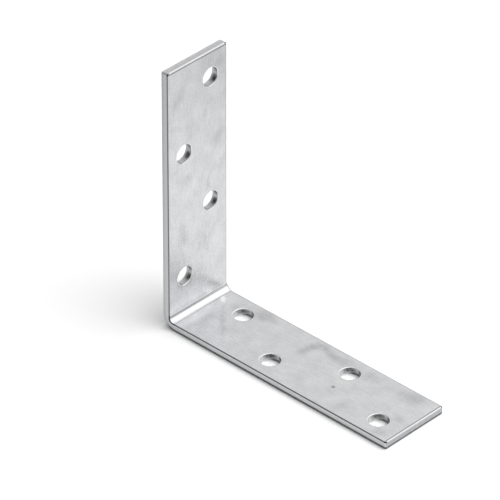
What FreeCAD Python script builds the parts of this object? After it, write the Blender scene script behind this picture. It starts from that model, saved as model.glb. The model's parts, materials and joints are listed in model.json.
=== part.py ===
import FreeCAD, Part
import math
import os

# Narrow angle bracket: one strip of sheet steel, punched with a zigzag row of
# holes and folded once at a right angle. All sizes are in millimetres.
#
# It is modelled from the heel, the corner where the two outer faces would meet:
# X runs out along the foot, Y across the strip and Z up the upright.
# The finished bracket is then moved so that the origin lies at the middle of
# its underside.

# Strip
leg_length = 145.0            # each leg, from the other leg's outer face to its free end
strip_width = 40.0
sheet_thickness = 4.0

# Fold
inner_bend_radius = 3.5
fold_spread = 0.45            # how far each side of the strip swells out inside the fold

# Punched outline: the face that meets the die first has a rounded rim
edge_rollover = 0.55          # rounded rim of the inner faces
edge_break = 0.2              # rim of the outer faces, where the metal tore off
corner_radius = 0.9           # free corners of the strip, seen from above

# Holes, punched from the inner faces
hole_diameter = 10.0
first_hole_from_end = 14.5    # free end to the centre of the nearest hole
hole_pitch = 35.0             # along the strip, from one hole to the next
hole_from_side = 11.0         # side of the strip to the centres of a column
last_hole_from_heel = 22.0    # least distance from the heel to a hole's centre
hole_rollover = 0.4           # rounded rim on the inner face
hole_shear_share = 0.6        # share of the thickness through which the wall is cleanly sheared
hole_breakout = 0.2           # how much wider the radius is at the outer face

# The fold turns about one line, as far from both outer faces as its outer radius
outer_bend_radius = inner_bend_radius + sheet_thickness
fold_axis_x = outer_bend_radius
fold_axis_z = outer_bend_radius


def hole_distances():
    """Distances of the holes of one leg from its free end."""
    reach = leg_length - first_hole_from_end - last_hole_from_heel
    count = 1 + int(reach // hole_pitch)
    return [first_hole_from_end + i * hole_pitch for i in range(count)]


def hole_sides():
    """The two columns that the holes alternate between, near side first."""
    return hole_from_side, strip_width - hole_from_side


# Flat part of a leg, lying as the foot does, with its inner face up
def flat_leg():
    length = leg_length - fold_axis_x
    leg = Part.makeBox(length, strip_width, sheet_thickness, FreeCAD.Vector(fold_axis_x, 0, 0))

    corners = [e for e in leg.Edges if is_upright_edge_at(e, leg_length)]
    leg = leg.makeFillet(corner_radius, corners)

    inner_rim = [e for e in leg.Edges if lies_at_height(e, sheet_thickness) and not is_at_fold(e)]
    leg = leg.makeFillet(edge_rollover, inner_rim)

    outer_rim = [e for e in leg.Edges if lies_at_height(e, 0) and not is_at_fold(e)]
    return leg.makeFillet(edge_break, outer_rim)


def is_upright_edge_at(edge, x):
    box = edge.BoundBox
    return abs(box.XMin - x) < 1e-6 and box.XLength < 1e-6 and box.YLength < 1e-6


def lies_at_height(edge, z):
    box = edge.BoundBox
    return abs(box.ZMin - z) < 1e-6 and abs(box.ZMax - z) < 1e-6


def is_at_fold(edge):
    box = edge.BoundBox
    return abs(box.XMin - fold_axis_x) < 1e-6 and abs(box.XMax - fold_axis_x) < 1e-6


# Fold: the strip's own section carried round the bend, its inner half swelling
# sideways towards the middle of the fold, as thick strip does when it is bent
def fold_section(turn, spread):
    """The strip's section at an angle round the fold, 0 at the foot."""
    def at(y, depth):
        radius = inner_bend_radius + depth
        x = fold_axis_x - radius * math.sin(turn)
        z = fold_axis_z - radius * math.cos(turn)
        return FreeCAD.Vector(x, y, z)

    def side(y_outer, y_inner, inward):
        """One side of the section, from the outer rim to the inner rim."""
        diagonal = 1 - math.sqrt(0.5)
        low = sheet_thickness - edge_break
        straight = low - edge_rollover
        outer_arc = Part.Arc(at(y_outer + inward * edge_break, sheet_thickness),
                             at(y_outer + inward * edge_break * diagonal, sheet_thickness - edge_break * diagonal),
                             at(y_outer, low))
        flank = Part.BezierCurve()
        flank.setPoles([at(y_outer, low), at(y_outer, low - straight / 3),
                        at(y_inner, edge_rollover + straight / 3), at(y_inner, edge_rollover)])
        inner_arc = Part.Arc(at(y_inner, edge_rollover),
                             at(y_inner + inward * edge_rollover * diagonal, edge_rollover * diagonal),
                             at(y_inner + inward * edge_rollover, 0))
        return [outer_arc.toShape(), flank.toShape(), inner_arc.toShape()]

    near = side(0, -spread, 1)
    far = side(strip_width, strip_width + spread, -1)
    inner = Part.makeLine(near[-1].Vertexes[-1].Point, far[-1].Vertexes[-1].Point)
    outer = Part.makeLine(near[0].Vertexes[0].Point, far[0].Vertexes[0].Point)
    return Part.Wire(Part.__sortEdges__(near + [inner] + far + [outer]))


def fold():
    stations = 7
    sections = []
    for i in range(stations):
        share = i / (stations - 1)
        swell = fold_spread * math.sin(math.pi * share) ** 2
        sections.append(fold_section(share * math.pi / 2, swell))
    return Part.makeLoft(sections, True, False)


# The form that the punch leaves in the foot: a rounded rim where it went in, a
# sheared wall, and the wider mouth where the slug broke out
def hole_tool():
    radius = hole_diameter / 2
    top = sheet_thickness
    shear_end = top - hole_shear_share * sheet_thickness
    clear = 1.0
    arc_middle = hole_rollover * (1 - math.sqrt(0.5))
    rim = Part.Arc(FreeCAD.Vector(radius + hole_rollover, 0, top),
                   FreeCAD.Vector(radius + arc_middle, 0, top - arc_middle),
                   FreeCAD.Vector(radius, 0, top - hole_rollover))
    points = [FreeCAD.Vector(radius, 0, top - hole_rollover),
              FreeCAD.Vector(radius, 0, shear_end),
              FreeCAD.Vector(radius + hole_breakout, 0, 0),
              FreeCAD.Vector(radius + hole_breakout, 0, -clear),
              FreeCAD.Vector(0, 0, -clear),
              FreeCAD.Vector(0, 0, top + clear),
              FreeCAD.Vector(radius + hole_rollover, 0, top + clear),
              FreeCAD.Vector(radius + hole_rollover, 0, top)]
    outline = Part.Wire([rim.toShape()] + Part.makePolygon(points).Edges)
    return Part.Face(outline).revolve(FreeCAD.Vector(0, 0, 0), FreeCAD.Vector(0, 0, 1), 360)


# Foot: the flat leg with its holes, the near column's first at the free end
def foot():
    leg = flat_leg()
    sides = hole_sides()
    for i, distance in enumerate(hole_distances()):
        tool = hole_tool()
        tool.translate(FreeCAD.Vector(leg_length - distance, sides[i % 2], 0))
        leg = leg.cut(tool)
    return leg


# Upright: the same leg, turned half round about the diagonal of the corner.
# That swaps its two columns, so the zigzag runs on unbroken through the fold.
def upright():
    leg = foot()
    heel = FreeCAD.Vector(0, strip_width / 2, 0)
    leg.rotate(heel, FreeCAD.Vector(1, 0, 1), 180)
    return leg


def angle_bracket():
    strip = fold().fuse([foot(), upright()]).removeSplitter()
    strip.translate(FreeCAD.Vector(-leg_length / 2, -strip_width / 2, 0))
    return strip


os.makedirs("parts", exist_ok=True)
bracket = angle_bracket()
print("solids", len(bracket.Solids), "valid", bracket.isValid(), "volume", round(bracket.Volume, 1))
bracket.exportStep("parts/angle_bracket.step")
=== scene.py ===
import json
import math
import bmesh
import bpy
from mathutils import Matrix, Vector, noise


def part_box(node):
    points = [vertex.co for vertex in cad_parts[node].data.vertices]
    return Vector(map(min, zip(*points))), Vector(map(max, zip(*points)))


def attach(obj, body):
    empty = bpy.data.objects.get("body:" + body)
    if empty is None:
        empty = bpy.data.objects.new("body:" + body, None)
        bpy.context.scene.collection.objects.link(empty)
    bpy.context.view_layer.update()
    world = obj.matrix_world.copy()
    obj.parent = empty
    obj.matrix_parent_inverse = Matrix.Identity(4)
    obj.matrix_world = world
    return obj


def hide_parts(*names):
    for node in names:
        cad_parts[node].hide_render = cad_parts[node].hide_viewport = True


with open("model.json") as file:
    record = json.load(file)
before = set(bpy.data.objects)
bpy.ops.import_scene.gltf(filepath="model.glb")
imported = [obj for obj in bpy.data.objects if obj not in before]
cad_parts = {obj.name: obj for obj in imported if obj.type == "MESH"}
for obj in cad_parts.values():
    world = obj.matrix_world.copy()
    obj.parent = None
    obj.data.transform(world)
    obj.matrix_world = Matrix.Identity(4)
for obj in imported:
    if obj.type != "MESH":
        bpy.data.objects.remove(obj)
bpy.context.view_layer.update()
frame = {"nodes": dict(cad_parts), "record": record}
print("frame loaded:", sorted(frame["nodes"]))

# The code works in metres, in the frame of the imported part: the foot runs along +X from the
# upright, the strip's width lies along Y and Z is up.
mm = 0.001
tiny = 1e-6


def linear(hexColour):  # sRGB hex to the linear colour that the shaders take
    values = [int(hexColour[i:i + 2], 16) / 255 for i in (1, 3, 5)]
    return [v / 12.92 if v <= 0.04045 else ((v + 0.055) / 1.055) ** 2.4 for v in values] + [1.0]


def addNode(tree, kind, settings=None, links=None):  # one node, its values and what feeds it
    node = tree.nodes.new(kind)
    for key, value in (settings or {}).items():
        if isinstance(key, int) or key in node.inputs:
            node.inputs[key].default_value = value
        else:
            setattr(node, key, value)
    for key, source in (links or {}).items():
        tree.links.new(source, node.inputs[key])
    return node


# Bracket, in millimetres and degrees. Its outside size and its holes come from the frame.
bracket = {
    "sheet": 4.0,            # thickness of the strip
    "innerBend": 3.5,        # inner radius of the fold
    "foldSpread": 0.45,      # how far the fold's inner half swells sideways
    "innerRim": 0.55,        # rounded rim round the inner faces
    "outerRim": 0.2,         # rim round the outer faces
    "cornerRadius": 0.9,     # free corners, seen from above
    "holeRim": 0.4,          # rounded rim where the punch went in
    "holeShear": 2.4,        # depth of the smooth part of a hole's wall
    "holeBreakout": 0.2,     # how much wider the hole is at the outer face
    "holeCell": 7.6,         # half the square round a hole that its ring of faces fills
    "ringCuts": 2,           # cuts that part this ring into narrower ones
    "gridStep": 1.0,         # spacing of the faces on the flats
    "foldSteps": 26,
    "rimSegments": 5,        # round the inner faces and the holes
    "outerRimSegments": 2,
    "cornerSegments": 10,
    "cutAngle": 60,          # an edge of the blank that turns by more was left sharp by the cut
    "creaseAngle": 35,       # an edge of the finished bracket that turns by more is shaded sharp
    "waveDepth": 0.015,      # mean depth of the unevenness of the dipped faces
    "waveSwing": 0.0105,     # and how far it goes either way
    "waveLength": 14.0,
    "ripples": (3, 0.4),     # how many there are to a wave, and how high beside it
    "pinhole": (24.8, -4.4), # small pit in the foot's upper face
    "pinholeWidth": 0.7,
    "pinholeDepth": 0.3,
    # Stains, and patches of painted shade and painted highlight where the metal mirrors dark or
    # bright: middle along and across the strip, half the length, half the width, turn, and darkness,
    # which is below 0 for a bright one
    "stainsAndPaintedLight": [
        (-135, 12, 21, 14, 29, 0.4), (-123, -13, 16, 4, -30, 0.5), (-109, -15, 7, 3, 69, 0.5),
        (-108, 5, 6, 2.5, -8, 0.5), (-91, 13, 9, 5, 142, 0.4), (-77, -6, 5, 4, 37, 0.4),
        (-68, 7, 6, 2, 0, 0.6), (-46, -10, 8, 4, 11, 0.6), (-37, 3, 8, 6, 44, 0.4),
        (-34, -14, 8, 5, 84, 0.2), (-29, 13, 12, 6, 20, -0.3), (-14.5, 2, 13, 4, 48, 0.6),
        (-7.5, 12, 8, 3, 56, 1.0), (-22, -16, 6, 4, 0, -0.5), (-3.2, 16, 1.5, 9, 0, 1.2),
        (7, -1, 4.5, 26, 0, -0.8), (5.5, 12, 4.5, 1.7, -37, -2.4), (20, -3, 24, 2.5, -47, 0.6),
        (10, -15, 4.5, 3, 55, 0.5), (16, 10, 7, 3, -42, 0.5), (30, 15, 11, 6, 0, 0.9),
        (64, 9, 8.5, 4, 86, 0.8), (67, 15, 8, 5, 30, 1.0), (76, 14, 9, 3.5, -19, 0.7),
        (85, 14, 9, 5, -17, 0.5), (94, -4.4, 1.1, 1.1, 0, 3.4), (102, 13, 8, 6, -11, 0.5),
        (107, -13, 12, 5, 78, 0.3), (127, 15, 12, 7, 3, 0.7), (133, -2, 5, 4, 3, 0.6),
        (134, -16, 7, 4, 30, 0.5),
    ],
}


def holesInFoot(record):  # centres (x, y) and radius, from the record's bolt patterns
    centres = []
    for mount in record["mounts"]:
        if mount["kind"] == "bolt_pattern" and mount["name"].startswith("foot"):
            x, y = mount["pos_m"][:2]
            reach = mount["dims"]["spacing_x_mm"] * mm / 2
            centres += [(x - reach, y), (x + reach, y)]
            radius = mount["dims"]["hole_r_mm"] * mm
    return centres, radius


def makeBlankLeg(sizes, low, high, halfWidth, foldAxis, holes, holeRadius):
    # The foot, lying flat, with square edges, from the start of the fold to its free end
    sheet = sizes["sheet"] * mm
    width = 2 * halfWidth
    length = high.x - foldAxis.x
    bm = bmesh.new()
    bmesh.ops.create_grid(bm, x_segments=round(length / sizes["gridStep"] / mm),
                          y_segments=round(width / sizes["gridStep"] / mm), size=0.5)
    bmesh.ops.scale(bm, vec=(length, width, 1), verts=bm.verts[:])
    bmesh.ops.translate(bm, vec=(foldAxis.x + length / 2, 0, low.z + sheet), verts=bm.verts[:])

    # Round each hole a square of faces gives way to a ring
    cell = sizes["holeCell"] * mm
    for x, y in holes:
        inside = {f for f in bm.faces if abs(f.calc_center_median().x - x) < cell
                  and abs(f.calc_center_median().y - y) < cell}
        square = {e for f in inside for e in f.edges if len(inside & set(e.link_faces)) == 1}
        bmesh.ops.delete(bm, geom=list(inside), context="FACES")
        drawn = bmesh.ops.extrude_edge_only(bm, edges=list(square))["geom"]
        ring = {g for g in drawn if isinstance(g, bmesh.types.BMVert)}
        centre = Vector((x, y, low.z + sheet))
        for v in ring:
            v.co = centre + (v.co - centre).normalized() * holeRadius
        spokes = [e for v in ring for e in v.link_edges if e.other_vert(v) not in ring]
        bmesh.ops.subdivide_edges(bm, edges=spokes, cuts=sizes["ringCuts"])

    copied = bmesh.ops.extrude_face_region(bm, geom=bm.faces[:], use_keep_orig=True)["geom"]
    underside = [g for g in copied if isinstance(g, bmesh.types.BMVert)]
    bmesh.ops.translate(bm, vec=(0, 0, -sheet), verts=underside)
    bmesh.ops.bisect_plane(bm, geom=bm.verts[:] + bm.edges[:] + bm.faces[:], plane_no=(0, 0, 1),
                           plane_co=(0, 0, low.z + sheet - sizes["holeShear"] * mm))
    wider = 1 + sizes["holeBreakout"] * mm / holeRadius
    for x, y in holes:
        mouth = [v for v in bm.verts if v.co.z < low.z + tiny
                 and abs(math.hypot(v.co.x - x, v.co.y - y) - holeRadius) < tiny]
        bmesh.ops.scale(bm, vec=(wider, wider, 1), space=Matrix.Translation((-x, -y, 0)), verts=mouth)
    return bm


def roundRim(bm, edges, radius, segments):
    bmesh.ops.bevel(bm, geom=edges, offset=radius, offset_type="OFFSET", segments=segments,
                    profile=0.5, affect="EDGES", clamp_overlap=False, material=-1)


def isCut(edge, sizes):  # whether the cut left this edge of the blank sharp
    return edge.calc_face_angle(0) > math.radians(sizes["cutAngle"])


def finishLeg(bm, sizes, low, high, foldAxis, holes):
    foldEnd = [f for f in bm.faces if max(v.co.x for v in f.verts) < foldAxis.x + tiny]
    bmesh.ops.delete(bm, geom=foldEnd, context="FACES")
    corners = [e for e in bm.edges if min(v.co.x for v in e.verts) > high.x - tiny
               and abs(e.verts[0].co.y - e.verts[1].co.y) < tiny < abs(e.verts[0].co.z - e.verts[1].co.z)
               and isCut(e, sizes)]
    roundRim(bm, corners, sizes["cornerRadius"] * mm, sizes["cornerSegments"])

    # Height of each rim, whether it is round the holes or the outline, its size and its segments
    top = low.z + sizes["sheet"] * mm
    rims = [
        (top, True, "holeRim", "rimSegments"),
        (top, False, "innerRim", "rimSegments"),
        (low.z, False, "outerRim", "outerRimSegments"),
    ]
    for z, roundHoles, rim, segments in rims:
        edges = []
        for edge in bm.edges:
            a, b = (v.co for v in edge.verts)
            level = abs(a.z - z) < tiny and abs(b.z - z) < tiny
            atFold = max(a.x, b.x) < foldAxis.x + tiny
            atHole = any(math.hypot(a.x - x, a.y - y) < sizes["holeCell"] * mm for x, y in holes)
            if level and not atFold and atHole == roundHoles and isCut(edge, sizes):
                edges.append(edge)
        roundRim(bm, edges, sizes[rim] * mm, sizes[segments])


def turnRound(place, foldAxis):  # angle round the fold, 0 at the foot and a right angle at the upright
    return math.atan2(foldAxis.x - place.x, foldAxis.z - place.z)


def layPattern(bm, sizes, foldAxis, high, halfWidth, holes, holeRadius):
    # Each point's place on the strip before it was folded: along it, across it and below its
    # inner face. Margin is its distance from the strip's nearer end, from its nearer side and from
    # its far side, in millimetres. Pressed is 1 in the fold, where the press has burnished the
    # metal. Bore is the way from a hole's middle to its wall, with 1 as its third value.
    strip = bm.verts.layers.float_vector.new("strip")
    margin = bm.verts.layers.float_vector.new("margin")
    pressed = bm.verts.layers.float.new("pressed")
    bore = bm.verts.layers.float_vector.new("bore")
    sheet = sizes["sheet"] * mm
    neutral = (sizes["innerBend"] + sizes["sheet"] / 2) * mm
    halfFold = neutral * math.pi / 4
    halfLength = high.x - foldAxis.x + halfFold
    centres = [(x - foldAxis.x + halfFold, y) for x, y in holes]
    centres += [(-along, -across) for along, across in centres]
    for v in bm.verts:
        if v.co.x > foldAxis.x - tiny:
            along = v.co.x - foldAxis.x + halfFold
            depth = sheet - v.co.z
        elif v.co.z > foldAxis.z - tiny:
            along = foldAxis.z - v.co.z - halfFold
            depth = foldAxis.x - sizes["innerBend"] * mm - v.co.x
        else:
            along = halfFold - neutral * turnRound(v.co, foldAxis)
            depth = math.hypot(v.co.x - foldAxis.x, v.co.z - foldAxis.z) - sizes["innerBend"] * mm
        v[strip] = (along, v.co.y, depth)
        v[margin] = Vector((halfLength - abs(along), halfWidth - abs(v.co.y), halfWidth - v.co.y)) / mm
        v[pressed] = 1.0 if abs(along) < halfFold - tiny else 0.0
        for x, y in centres:
            if math.hypot(along - x, v.co.y - y) < holeRadius + sizes["holeRim"] * mm - tiny:
                v[bore] = ((along - x) / holeRadius, (v.co.y - y) / holeRadius, 1)
    for face in bm.faces:
        depth = sum(v[strip].z for v in face.verts) / len(face.verts)
        face.material_index = 1 if sizes["innerRim"] * mm < depth < sheet - tiny else 0


def layStainsAndPaintedLight(bm, sizes):  # stains, and soft patches of painted shade and painted highlight, on the inner faces
    strip = bm.verts.layers.float_vector["strip"]
    stainAndPaintedLight = bm.verts.layers.float.new("stainAndPaintedLight")
    for along, across, length, width, turn, darkness in sizes["stainsAndPaintedLight"]:
        a = math.radians(turn)
        for v in bm.verts:
            x, y, depth = v[strip] / mm
            if depth < tiny / mm:
                x, y = x - along, y - across
                reach = math.hypot((x * math.cos(a) + y * math.sin(a)) / length,
                                   (y * math.cos(a) - x * math.sin(a)) / width)
                v[stainAndPaintedLight] += darkness * max(0, 1 - reach * reach) ** 2


def swellFold(bm, sizes, foldAxis, halfWidth):
    # The inner half of the strip spreads sideways in the fold, most at its middle
    strip = bm.verts.layers.float_vector["strip"]
    flank = sizes["sheet"] - sizes["outerRim"] - sizes["innerRim"]
    for v in bm.verts:
        if v.co.x < foldAxis.x and v.co.z < foldAxis.z:
            depth = v[strip].z / mm
            share = min(1, max(0, 1 - (depth - sizes["innerRim"]) / flank))
            eased = share * share * (3 - 2 * share)
            swell = math.sin(2 * turnRound(v.co, foldAxis)) ** 2 * eased
            v.co.y += v.co.y / halfWidth * sizes["foldSpread"] * mm * swell


def pressPinhole(bm, sizes, top):  # one face of the grid gets a pit, half as wide at its floor
    centre = Vector((sizes["pinhole"][0] * mm, sizes["pinhole"][1] * mm, top))
    face = min(bm.faces, key=lambda f: (f.calc_center_median() - centre).length)
    margin = (sizes["gridStep"] - sizes["pinholeWidth"]) / 2 * mm
    bmesh.ops.inset_individual(bm, faces=[face], thickness=margin, depth=0)
    bmesh.ops.inset_individual(bm, faces=[face], thickness=sizes["pinholeWidth"] * mm / 4,
                               depth=-sizes["pinholeDepth"] * mm)


def unevenFaces(bm, sizes):
    # Dipped zinc is never quite flat: a slow wave, only ever inwards so that no size grows
    count, height = sizes["ripples"]
    bm.normal_update()
    for v in bm.verts:
        place = v.co / (sizes["waveLength"] * mm)
        wave = noise.noise(place) + height * noise.noise(place * count)
        v.co -= v.normal * (sizes["waveDepth"] + sizes["waveSwing"] * wave) * mm


def makeBracket(sizes, record):
    low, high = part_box("angle_bracket")
    halfWidth = high.y - sizes["foldSpread"] * mm  # the strip is wider only in the fold
    outerBend = (sizes["innerBend"] + sizes["sheet"]) * mm
    foldAxis = Vector((low.x + outerBend, 0, low.z + outerBend))
    heel = Vector((low.x, 0, low.z))
    holes, holeRadius = holesInFoot(record)
    bm = makeBlankLeg(sizes, low, high, halfWidth, foldAxis, holes, holeRadius)
    finishLeg(bm, sizes, low, high, foldAxis, holes)
    print("foot:", len(bm.faces), "faces")

    # The upright is the same leg, turned half round about the diagonal of the corner
    foot = bm.verts[:] + bm.edges[:] + bm.faces[:]
    foldStart = [g for g in bm.edges if g.is_boundary]
    copied = bmesh.ops.duplicate(bm, geom=foot)["geom"]
    upright = [g for g in copied if isinstance(g, bmesh.types.BMVert)]
    bmesh.ops.rotate(bm, cent=heel, matrix=Matrix.Rotation(math.pi, 3, Vector((1, 0, 1))), verts=upright)

    # The fold is the foot's section, spun up to the upright
    section = foldStart + list({v for e in foldStart for v in e.verts})
    bmesh.ops.spin(bm, geom=section, cent=foldAxis, axis=(0, 1, 0), angle=math.pi / 2,
                   steps=sizes["foldSteps"], use_merge=False)
    bmesh.ops.remove_doubles(bm, verts=bm.verts[:], dist=tiny)
    print("folded:", len(bm.faces), "faces, closed:", all(e.is_manifold for e in bm.edges))
    bmesh.ops.recalc_face_normals(bm, faces=bm.faces[:])
    layPattern(bm, sizes, foldAxis, high, halfWidth, holes, holeRadius)
    layStainsAndPaintedLight(bm, sizes)
    swellFold(bm, sizes, foldAxis, halfWidth)
    pressPinhole(bm, sizes, low.z + sizes["sheet"] * mm)
    unevenFaces(bm, sizes)

    for face in bm.faces:
        face.smooth = True
    for edge in bm.edges:
        edge.smooth = edge.calc_face_angle(0) < math.radians(sizes["creaseAngle"])
    mesh = bpy.data.meshes.new("bracket")
    bm.to_mesh(mesh)
    bm.free()
    piece = bpy.data.objects.new("bracket", mesh)
    bpy.context.scene.collection.objects.link(piece)
    return piece


piece = makeBracket(bracket, frame["record"])
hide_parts("angle_bracket")
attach(piece, "root")


# Galvanised zinc: the strip was dipped, so a thin skin of zinc lies over every face. It gives the
# eye a pale satin metal, bright enough to mirror the other leg softly, with a fine grain.
# Lengths are in millimetres.
zinc = {
    "pale": "#e4e4e5",
    "dull": "#cdced0",
    "fold": "#e6e6e8",          # burnished by the press
    "holeRim": "#fafafb",       # burnished by the punch
    "rim": "#838588",           # painted shade on the rolled-over long sides, standing in for the dark they mirror
    "darkRimShade": "#3f4144",       # darker painted shade on the rims round the fold and at the free corners
    "cornerShadeReach": (1.6, 1.0),  # from end and side together, where the painted shade of a corner begins and is full
    "endShadeLine": "#787a7d",       # painted shade: a dark line along the ends, just inside their bright rims
    "endRim": "#e0e1e2",        # those rims
    "endLineAt": 0.95,          # from the end
    "endLineWidth": 0.9,
    "farRim": (1.1, 0.6),       # width over which painted shade darkens the far side, and how much
    "dieLineAndShade": "#b0b1b4",       # where the die's edges ran across both legs, also painted shade for the dark line mirrored at the fold's edge
    "dieLinesAt": (4.0, -2.9),  # from the middle of the fold
    "dieLineWidth": 1.3,
    "stainAndShadeDepth": 0.25,         # how much darker a stain or a patch of painted shade of darkness 1 is
    "roughness": (0.23, 0.31),  # of the pale and of the dull metal
    "pressedRoughness": 0.2,
    "rimRoughness": 0.5,
    "cloud": 9.0,               # size of a blotch
    "streak": (0.8, 7.0),       # rolled lines, across and along the strip
    "grain": 1.2,               # coarser than real, so that it shows
    "shares": (0.6, 0.35, 0.3), # of these three in their mix
    "spread": 0.2,              # how far from its middle the mix is all pale or all dull
    "cloudHeight": 0.02,        # of the relief that the clouds make
    "grainHeight": 0.002,       # and the grain
}

# Sheared edge: the cut sides, ends and hole walls under the same dip. The punch drew fine lines
# through the thickness, and the metal that tore behind it is rougher and paler. Lengths are in
# millimetres, and depths are below the inner face.
shearedEdge = {
    "smooth": "#bebfc1",
    "torn": "#f0f0f1",
    "tear": (2.7, 3.4),         # depth and lines (0 to 1) together, where the tear begins and is full
    "lineShade": (0.6, -0.1),   # share of the torn colour that the lines bring, and what is added to it
    "tearShade": 0.5,           # share that the tear brings
    "footShade": 0.84,          # painted shade: brightness of the foot's end and hole walls beside the upright's
    "side": "#d3d4d6",          # the long sides, slit before the punch
    "underRimShade": "#85878a",      # painted contact shade along the last of the tear, round the foot's underside
    "underRimShadeDepths": (2.8, 3.8),  # where it begins and is full
    "wallPaintedLight": "#dededf",     # painted light on the side of each hole's wall that faces the softbox
    "wallPaintedShade": "#36373a",      # painted shade on the sides of those walls turned from the light
    "litSide": ((-0.9, -0.43, 0), 0.0, 0.5),   # its way along and across the strip, and its reach
    "shadedSide": ((-0.69, 0.72, 0), 0.7, 1.0),        # the same of the wide side turned from the light
    "shadedBeside": ((0.6, 0.8, 0), 0.9, 1.0),     # and of a narrower one beside it
    "shadedDepths": (3.4, 1.8),   # where both are gone and where they are full
    "patch": 1.5,               # size of the patches that break them up
    "patchRange": (0.4, 0.58),  # of their pattern, from faintest to full
    "patchFaintest": 0.75,
    "litSideMetal": 0.2,      # metalness of the lit side, lowered so that it scatters the softbox's light as a matt surface does
    "roughness": (0.42, 0.6),   # of the smooth and of the torn metal
    "line": (0.6, 7.0),         # distance between the drawn lines, and their length
    "lineHeight": 0.03,
}


def stripPlace(tree, size):  # the point's place on the unfolded strip, counted in pattern sizes
    place = addNode(tree, "ShaderNodeAttribute", {"attribute_name": "strip"})
    return addNode(tree, "ShaderNodeMapping", {"Scale": [1 / (s * mm) for s in size]},
                   {"Vector": place.outputs["Vector"]}).outputs["Vector"]


def stripMargins(tree):  # the point's distances from the strip's nearer end, nearer side and far side
    margin = addNode(tree, "ShaderNodeAttribute", {"attribute_name": "margin"})
    return addNode(tree, "ShaderNodeSeparateXYZ", links={0: margin.outputs["Vector"]}).outputs


def lineAcross(tree, place, middle, width):  # 1 at the middle of the line, 0 outside its width
    off = addNode(tree, "ShaderNodeMath", {"operation": "SUBTRACT", 1: middle}, {0: place})
    off = addNode(tree, "ShaderNodeMath", {"operation": "ABSOLUTE"}, {0: off.outputs[0]})
    return addNode(tree, "ShaderNodeMapRange", {"From Min": width / 2, "From Max": 0.0},
                   {"Value": off.outputs[0]}).outputs[0]


def rimMask(tree, distance, width):  # 1 on the outer half of a rounded rim, 0 on the flat beside it
    return addNode(tree, "ShaderNodeMapRange", {"From Min": width, "From Max": width / 2},
                   {"Value": distance}).outputs[0]


def facingWay(tree, bore, side):  # 1 on that side of each hole's wall
    way, least, most = side
    facing = addNode(tree, "ShaderNodeVectorMath", {"operation": "DOT_PRODUCT", 1: way}, {0: bore})
    return addNode(tree, "ShaderNodeMapRange", {"From Min": least, "From Max": most},
                   {"Value": facing.outputs["Value"]}).outputs[0]


def newMetal(name):
    material = bpy.data.materials.new(name)
    material.use_nodes = True
    shader = material.node_tree.nodes["Principled BSDF"]
    shader.inputs["Metallic"].default_value = 1.0
    return material, material.node_tree, shader


def mixPatterns(tree, look):  # clouds, grain, and the mix of both with the rolled streaks
    across, along = look["streak"]
    cloud = addNode(tree, "ShaderNodeTexNoise", {"Scale": 1.0, "Detail": 3.0, "Roughness": 0.6},
                    {"Vector": stripPlace(tree, [look["cloud"]] * 3)})
    streak = addNode(tree, "ShaderNodeTexNoise", {"Scale": 1.0, "Detail": 1.0},
                     {"Vector": stripPlace(tree, (along, across, across))})
    grain = addNode(tree, "ShaderNodeTexNoise", {"Scale": 1.0, "Detail": 2.0, "Roughness": 0.7},
                    {"Vector": stripPlace(tree, [look["grain"]] * 3)})
    mixed = addNode(tree, "ShaderNodeMath", {"operation": "MULTIPLY", 1: look["shares"][0]},
                    {0: cloud.outputs["Fac"]})
    for pattern, share in zip((streak, grain), look["shares"][1:]):
        mixed = addNode(tree, "ShaderNodeMath", {"operation": "MULTIPLY_ADD", 1: share},
                        {0: pattern.outputs["Fac"], 2: mixed.outputs[0]})
    return cloud.outputs["Fac"], grain.outputs["Fac"], mixed.outputs[0]


def marksAndPaintedShade(tree, look, sizes, colour):
    # The marks of the press, the punch and the cuts, and painted shade along the rims, ends and
    # corners, each laid over what is below it. With the colour it gives back where the fold and the
    # long sides' rims are.
    along = addNode(tree, "ShaderNodeSeparateXYZ", links={0: stripPlace(tree, (1, 1, 1))}).outputs["X"]
    margins = stripMargins(tree)
    pressed = addNode(tree, "ShaderNodeAttribute", {"attribute_name": "pressed"}).outputs["Fac"]
    bore = addNode(tree, "ShaderNodeAttribute", {"attribute_name": "bore"}).outputs["Vector"]
    holeRim = addNode(tree, "ShaderNodeSeparateXYZ", links={0: bore}).outputs["Z"]
    # Painted shade along the ends
    endShadeLine = lineAcross(tree, margins["X"], look["endLineAt"], look["endLineWidth"])
    far = addNode(tree, "ShaderNodeMapRange",
                  {"From Min": look["farRim"][0], "From Max": 0.0, "To Max": look["farRim"][1]},
                  {"Value": margins["Z"]})
    end = rimMask(tree, margins["X"], sizes["innerRim"])
    side = rimMask(tree, margins["Y"], sizes["innerRim"])
    # Painted shade at the free corners
    both = addNode(tree, "ShaderNodeMath", {"operation": "ADD"}, {0: margins["X"], 1: margins["Y"]})
    corner = addNode(tree, "ShaderNodeMapRange",
                     {"From Min": look["cornerShadeReach"][0], "From Max": look["cornerShadeReach"][1]},
                     {"Value": both.outputs[0]})

    layers = [(pressed, "fold")]
    # Die lines, which also carry painted shade at the fold's edge
    for at in look["dieLinesAt"]:
        layers.append((lineAcross(tree, along, at, look["dieLineWidth"]), "dieLineAndShade"))
    layers += [(holeRim, "holeRim"), (endShadeLine, "endShadeLine"), (far.outputs[0], "rim"), (end, "endRim")]
    for mask, paint in layers:
        colour = addNode(tree, "ShaderNodeMix", {"data_type": "RGBA", 7: linear(look[paint])},
                         {0: mask, 6: colour}).outputs[2]
    # Painted shade on the long sides' rims, darker still in the fold
    rim = addNode(tree, "ShaderNodeMix",
                  {"data_type": "RGBA", 6: linear(look["rim"]), 7: linear(look["darkRimShade"])},
                  {0: pressed})
    colour = addNode(tree, "ShaderNodeMix", {"data_type": "RGBA"},
                     {0: side, 6: colour, 7: rim.outputs[2]})
    colour = addNode(tree, "ShaderNodeMix", {"data_type": "RGBA", 7: linear(look["darkRimShade"])},
                     {0: corner.outputs[0], 6: colour.outputs[2]})
    return colour.outputs[2], pressed, side


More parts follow.
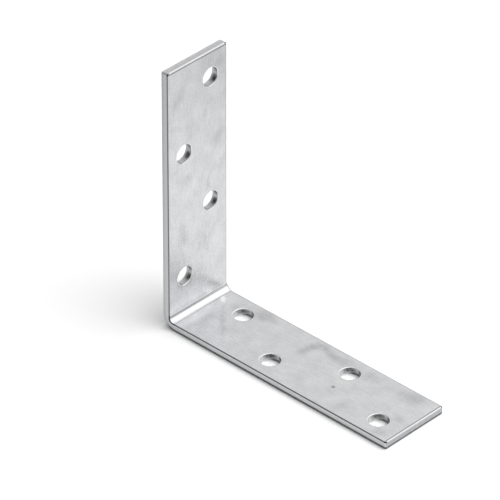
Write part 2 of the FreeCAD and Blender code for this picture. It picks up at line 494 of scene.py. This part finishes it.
def makeZincSheet(look, sizes):
    material, tree, shader = newMetal("galvanised zinc, dipped face")
    cloud, grain, mixed = mixPatterns(tree, look)
    middle = sum(look["shares"]) / 2
    dullness = addNode(tree, "ShaderNodeMapRange",
                       {"From Min": middle - look["spread"], "From Max": middle + look["spread"]},
                       {"Value": mixed}).outputs[0]
    colour = addNode(tree, "ShaderNodeMix",
                     {"data_type": "RGBA", 6: linear(look["pale"]), 7: linear(look["dull"])},
                     {0: dullness})

    # The mix makes the stains and the painted shade and highlights ragged
    stainAndPaintedLight = addNode(tree, "ShaderNodeAttribute", {"attribute_name": "stainAndPaintedLight"})
    ragged = addNode(tree, "ShaderNodeMath", {"operation": "MULTIPLY"},
                     {0: stainAndPaintedLight.outputs["Fac"], 1: mixed})
    shade = addNode(tree, "ShaderNodeMath",
                    {"operation": "MULTIPLY_ADD", 1: -look["stainAndShadeDepth"] / middle, 2: 1.0},
                    {0: ragged.outputs[0]})
    colour = addNode(tree, "ShaderNodeVectorMath", {"operation": "SCALE"},
                     {0: colour.outputs[2], "Scale": shade.outputs[0]})
    colour, pressed, side = marksAndPaintedShade(tree, look, sizes, colour.outputs[0])

    roughness = addNode(tree, "ShaderNodeMapRange",
                        {"To Min": look["roughness"][0], "To Max": look["roughness"][1]},
                        {"Value": dullness}).outputs[0]
    for mask, level in ((pressed, "pressedRoughness"), (side, "rimRoughness")):
        roughness = addNode(tree, "ShaderNodeMix", {"data_type": "FLOAT", 3: look[level]},
                            {0: mask, 2: roughness}).outputs[0]
    relief = addNode(tree, "ShaderNodeBump", {"Strength": 1.0, "Distance": look["cloudHeight"] * mm},
                     {"Height": cloud})
    relief = addNode(tree, "ShaderNodeBump", {"Strength": 1.0, "Distance": look["grainHeight"] * mm},
                     {"Height": grain, "Normal": relief.outputs["Normal"]})
    tree.links.new(colour, shader.inputs["Base Color"])
    tree.links.new(roughness, shader.inputs["Roughness"])
    tree.links.new(relief.outputs["Normal"], shader.inputs["Normal"])
    return material


def wallLightAndShade(tree, look, depth):  # painted light where the holes' walls face the softbox, and painted shade where they face away
    bore = addNode(tree, "ShaderNodeAttribute", {"attribute_name": "bore"}).outputs["Vector"]
    litSide, shadedSide, shadedBeside = (facingWay(tree, bore, look[side])
                                   for side in ("litSide", "shadedSide", "shadedBeside"))
    pattern = addNode(tree, "ShaderNodeTexNoise", {"Scale": 1.0, "Detail": 1.0},
                      {"Vector": stripPlace(tree, [look["patch"]] * 3)})
    patches = addNode(tree, "ShaderNodeMapRange",
                      {"From Min": look["patchRange"][0], "From Max": look["patchRange"][1],
                       "To Min": look["patchFaintest"]},
                      {"Value": pattern.outputs["Fac"]})
    shallow = addNode(tree, "ShaderNodeMapRange",
                      {"From Min": look["shadedDepths"][0], "From Max": look["shadedDepths"][1]},
                      {"Value": depth})
    dark = addNode(tree, "ShaderNodeMath", {"operation": "MAXIMUM"}, {0: shadedSide, 1: shadedBeside})
    for mask in (patches, shallow):
        dark = addNode(tree, "ShaderNodeMath", {"operation": "MULTIPLY"},
                       {0: dark.outputs[0], 1: mask.outputs[0]})
    return litSide, dark.outputs[0]


def makeShearedEdge(look, sizes):
    material, tree, shader = newMetal("galvanised zinc, sheared edge")
    place = addNode(tree, "ShaderNodeSeparateXYZ", links={0: stripPlace(tree, (1, 1, 1))}).outputs
    apart, length = look["line"]
    lines = addNode(tree, "ShaderNodeTexNoise", {"Scale": 1.0, "Detail": 2.0, "Roughness": 0.6},
                    {"Vector": stripPlace(tree, (apart, apart, length))}).outputs["Fac"]
    wander = addNode(tree, "ShaderNodeMath", {"operation": "ADD"}, {0: place["Z"], 1: lines})
    torn = addNode(tree, "ShaderNodeMapRange", {"From Min": look["tear"][0], "From Max": look["tear"][1]},
                   {"Value": wander.outputs[0]}).outputs[0]
    share, added = look["lineShade"]
    shade = addNode(tree, "ShaderNodeMath", {"operation": "MULTIPLY_ADD", 1: share, 2: added}, {0: lines})
    shade = addNode(tree, "ShaderNodeMath",
                    {"operation": "MULTIPLY_ADD", 1: look["tearShade"], "use_clamp": True},
                    {0: torn, 2: shade.outputs[0]})
    colour = addNode(tree, "ShaderNodeMix",
                     {"data_type": "RGBA", 6: linear(look["smooth"]), 7: linear(look["torn"])},
                     {0: shade.outputs[0]})
    # Painted shade on the foot's sheared faces
    dimming = addNode(tree, "ShaderNodeMapRange", {"To Min": 1.0, "To Max": look["footShade"]},
                      {"Value": place["X"]})
    colour = addNode(tree, "ShaderNodeVectorMath", {"operation": "SCALE"},
                     {0: colour.outputs[2], "Scale": dimming.outputs[0]}).outputs[0]

    # Painted contact shade round the foot's underside, growing towards its lower edge
    under = addNode(tree, "ShaderNodeMapRange",
                    {"From Min": look["underRimShadeDepths"][0], "From Max": look["underRimShadeDepths"][1]},
                    {"Value": place["Z"]})
    underFoot = addNode(tree, "ShaderNodeMath", {"operation": "MULTIPLY", "use_clamp": True},
                        {0: under.outputs[0], 1: place["X"]})
    litSide, dark = wallLightAndShade(tree, look, place["Z"])
    layers = [(rimMask(tree, stripMargins(tree)["Y"], sizes["innerRim"]), "side"),
              (underFoot.outputs[0], "underRimShade"), (litSide, "wallPaintedLight"), (dark, "wallPaintedShade")]
    for mask, paint in layers:
        colour = addNode(tree, "ShaderNodeMix", {"data_type": "RGBA", 7: linear(look[paint])},
                         {0: mask, 6: colour}).outputs[2]

    roughness = addNode(tree, "ShaderNodeMapRange",
                        {"To Min": look["roughness"][0], "To Max": look["roughness"][1]}, {"Value": torn})
    metallic = addNode(tree, "ShaderNodeMix", {"data_type": "FLOAT", 2: 1.0, 3: look["litSideMetal"]},
                       {0: litSide})
    relief = addNode(tree, "ShaderNodeBump", {"Strength": 1.0, "Distance": look["lineHeight"] * mm},
                     {"Height": lines})
    tree.links.new(colour, shader.inputs["Base Color"])
    tree.links.new(roughness.outputs[0], shader.inputs["Roughness"])
    tree.links.new(metallic.outputs[0], shader.inputs["Metallic"])
    tree.links.new(relief.outputs["Normal"], shader.inputs["Normal"])
    return material


piece.data.materials.append(makeZincSheet(zinc, bracket))
piece.data.materials.append(makeShearedEdge(shearedEdge, bracket))
print("zinc ready")


# Studio, in metres: a white sweep under a large softbox, which hangs over the bracket and a little
# to the camera's right. The room is bright above and on that side, dim in front and on the other
# side, and dark at the foot of the walls.
studio = {
    "floorSize": 5.0,
    "floorColour": "#f6f6f6",
    "floorSeen": 0.96,                 # how white the camera sees the floor
    "floorMirrored": (0.85, 0.67),     # how white the metal sees it, near the bracket and far off
    "floorFade": (0.09, 0.2),          # where near ends and far begins
    "softboxWay": (0.22, 0.29, 0.93),
    "softboxDistance": 2.4,
    "softboxSize": (2.0, 2.0),
    "softboxPower": 37.0,
    "brightWay": (0.38, 0.65, 0.66),
    "roomFacing": (-0.1, 1.0),         # cosines from that way at which the room is dimmest and brightest
    "roomLevels": (0.12, 1.42),        # there
    "roomMirrored": 0.36,              # least level that the metal sees
    "roomLit": 0.9,                    # share of the room's level that lights the paper
    "horizonLevel": 0.3,               # share of that left at the foot of the walls
    "horizonHeights": (0.05, 0.4),     # sines of the elevations between which it clears
}


def makeFloor(values):
    bm = bmesh.new()
    bmesh.ops.create_grid(bm, x_segments=1, y_segments=1, size=values["floorSize"] / 2)
    mesh = bpy.data.meshes.new("floor")
    bm.to_mesh(mesh)
    bm.free()
    floor = bpy.data.objects.new("floor", mesh)
    bpy.context.scene.collection.objects.link(floor)
    material = bpy.data.materials.new("white paper sweep")
    material.use_nodes = True
    tree = material.node_tree
    seen = addNode(tree, "ShaderNodeLightPath")
    place = addNode(tree, "ShaderNodeTexCoord").outputs["Object"]
    away = addNode(tree, "ShaderNodeVectorMath", {"operation": "LENGTH"}, {0: place})
    mirrored = addNode(tree, "ShaderNodeMapRange",
                       {"From Min": values["floorFade"][0], "From Max": values["floorFade"][1],
                        "To Min": values["floorMirrored"][0], "To Max": values["floorMirrored"][1]},
                       {"Value": away.outputs["Value"]})
    level = addNode(tree, "ShaderNodeMix", {"data_type": "FLOAT", 2: linear(values["floorColour"])[0]},
                    {0: seen.outputs["Is Glossy Ray"], 3: mirrored.outputs[0]})
    direct = addNode(tree, "ShaderNodeMath", {"operation": "MAXIMUM"},
                     {0: seen.outputs["Is Camera Ray"], 1: seen.outputs["Is Transmission Ray"]})
    level = addNode(tree, "ShaderNodeMix", {"data_type": "FLOAT", 3: values["floorSeen"]},
                    {0: direct.outputs[0], 2: level.outputs[0]})
    paper = addNode(tree, "ShaderNodeBsdfDiffuse", links={"Color": level.outputs[0]})
    tree.links.new(paper.outputs["BSDF"], tree.nodes["Material Output"].inputs["Surface"])
    tree.nodes.remove(tree.nodes["Principled BSDF"])
    mesh.materials.append(material)


def makeSoftbox(values):
    way = Vector(values["softboxWay"]).normalized()
    lamp = bpy.data.lights.new("softbox", "AREA")
    lamp.shape = "RECTANGLE"
    lamp.size, lamp.size_y = values["softboxSize"]
    lamp.energy = values["softboxPower"]
    softbox = bpy.data.objects.new("softbox", lamp)
    softbox.location = way * values["softboxDistance"]
    softbox.rotation_euler = way.to_track_quat("Z", "Y").to_euler()
    softbox.visible_glossy = False  # the metal mirrors the room, so the lamp leaves no hard spot on it
    bpy.context.scene.collection.objects.link(softbox)


def makeRoom(values):
    world = bpy.data.worlds.new("studio room")
    bpy.context.scene.world = world
    world.use_nodes = True
    tree = world.node_tree
    seen = addNode(tree, "ShaderNodeLightPath")
    way = addNode(tree, "ShaderNodeTexCoord").outputs["Generated"]
    brightWay = Vector(values["brightWay"]).normalized()
    facing = addNode(tree, "ShaderNodeVectorMath", {"operation": "DOT_PRODUCT", 1: brightWay}, {0: way})
    level = addNode(tree, "ShaderNodeMapRange",
                    {"From Min": values["roomFacing"][0], "From Max": values["roomFacing"][1],
                     "To Min": values["roomLevels"][0], "To Max": values["roomLevels"][1]},
                    {"Value": facing.outputs["Value"]})
    share = addNode(tree, "ShaderNodeMapRange", {"To Min": values["roomLit"]},
                    {"Value": seen.outputs["Is Glossy Ray"]})
    level = addNode(tree, "ShaderNodeMath", {"operation": "MULTIPLY"},
                    {0: level.outputs[0], 1: share.outputs[0]})
    least = addNode(tree, "ShaderNodeMath", {"operation": "MULTIPLY", 1: values["roomMirrored"]},
                    {0: seen.outputs["Is Glossy Ray"]})
    level = addNode(tree, "ShaderNodeMath", {"operation": "MAXIMUM"},
                    {0: level.outputs[0], 1: least.outputs[0]})
    height = addNode(tree, "ShaderNodeSeparateXYZ", links={0: way})
    clearing = addNode(tree, "ShaderNodeMapRange",
                       {"interpolation_type": "SMOOTHSTEP", "To Min": values["horizonLevel"],
                        "From Min": values["horizonHeights"][0], "From Max": values["horizonHeights"][1]},
                       {"Value": height.outputs["Z"]})
    level = addNode(tree, "ShaderNodeMath", {"operation": "MULTIPLY"},
                    {0: level.outputs[0], 1: clearing.outputs[0]})
    level = addNode(tree, "ShaderNodeMix", {"data_type": "FLOAT", 3: 1.0},
                    {0: seen.outputs["Is Camera Ray"], 2: level.outputs[0]})
    background = tree.nodes["Background"]
    background.inputs["Color"].default_value = (1, 1, 1, 1)
    tree.links.new(level.outputs[0], background.inputs["Strength"])


# Camera, worked out from the bracket's edges and holes in a photograph of 500 x 500 pixels. Angles
# are in degrees.
photo = {
    "azimuth": 43.543,
    "elevation": 34.511,
    "roll": 0.133,
    "focal": 378.7,                    # millimetres
    "sensor": 36.0,                    # millimetres
    "distance": 2.5,                   # metres
    "target": (-36.526, 2.573, 50.0),  # millimetres, at the middle of the picture
    "clip": (0.01, 100.0),             # metres
}


def wayFrom(azimuth, elevation):  # unit vector from the object towards an observer
    a, e = math.radians(azimuth), math.radians(elevation)
    return Vector((math.sin(a) * math.cos(e), -math.cos(a) * math.cos(e), math.sin(e)))


def makeCamera(values):
    data = bpy.data.cameras.new("camera")
    data.lens = values["focal"]
    data.sensor_width = values["sensor"]
    data.clip_start, data.clip_end = values["clip"]
    camera = bpy.data.objects.new("camera", data)
    back = wayFrom(values["azimuth"], values["elevation"])
    a = math.radians(values["azimuth"])
    right = Vector((math.cos(a), math.sin(a), 0))
    up = back.cross(right)
    turn = Matrix((right, up, back)).transposed() @ Matrix.Rotation(math.radians(values["roll"]), 3, "Z")
    place = Vector(values["target"]) * mm + back * values["distance"]
    camera.matrix_world = Matrix.Translation(place) @ turn.to_4x4()
    bpy.context.scene.collection.objects.link(camera)
    bpy.context.scene.camera = camera


makeFloor(studio)
makeSoftbox(studio)
makeRoom(studio)
makeCamera(photo)
bpy.context.scene.view_settings.view_transform = "Standard"
print("studio and camera ready")
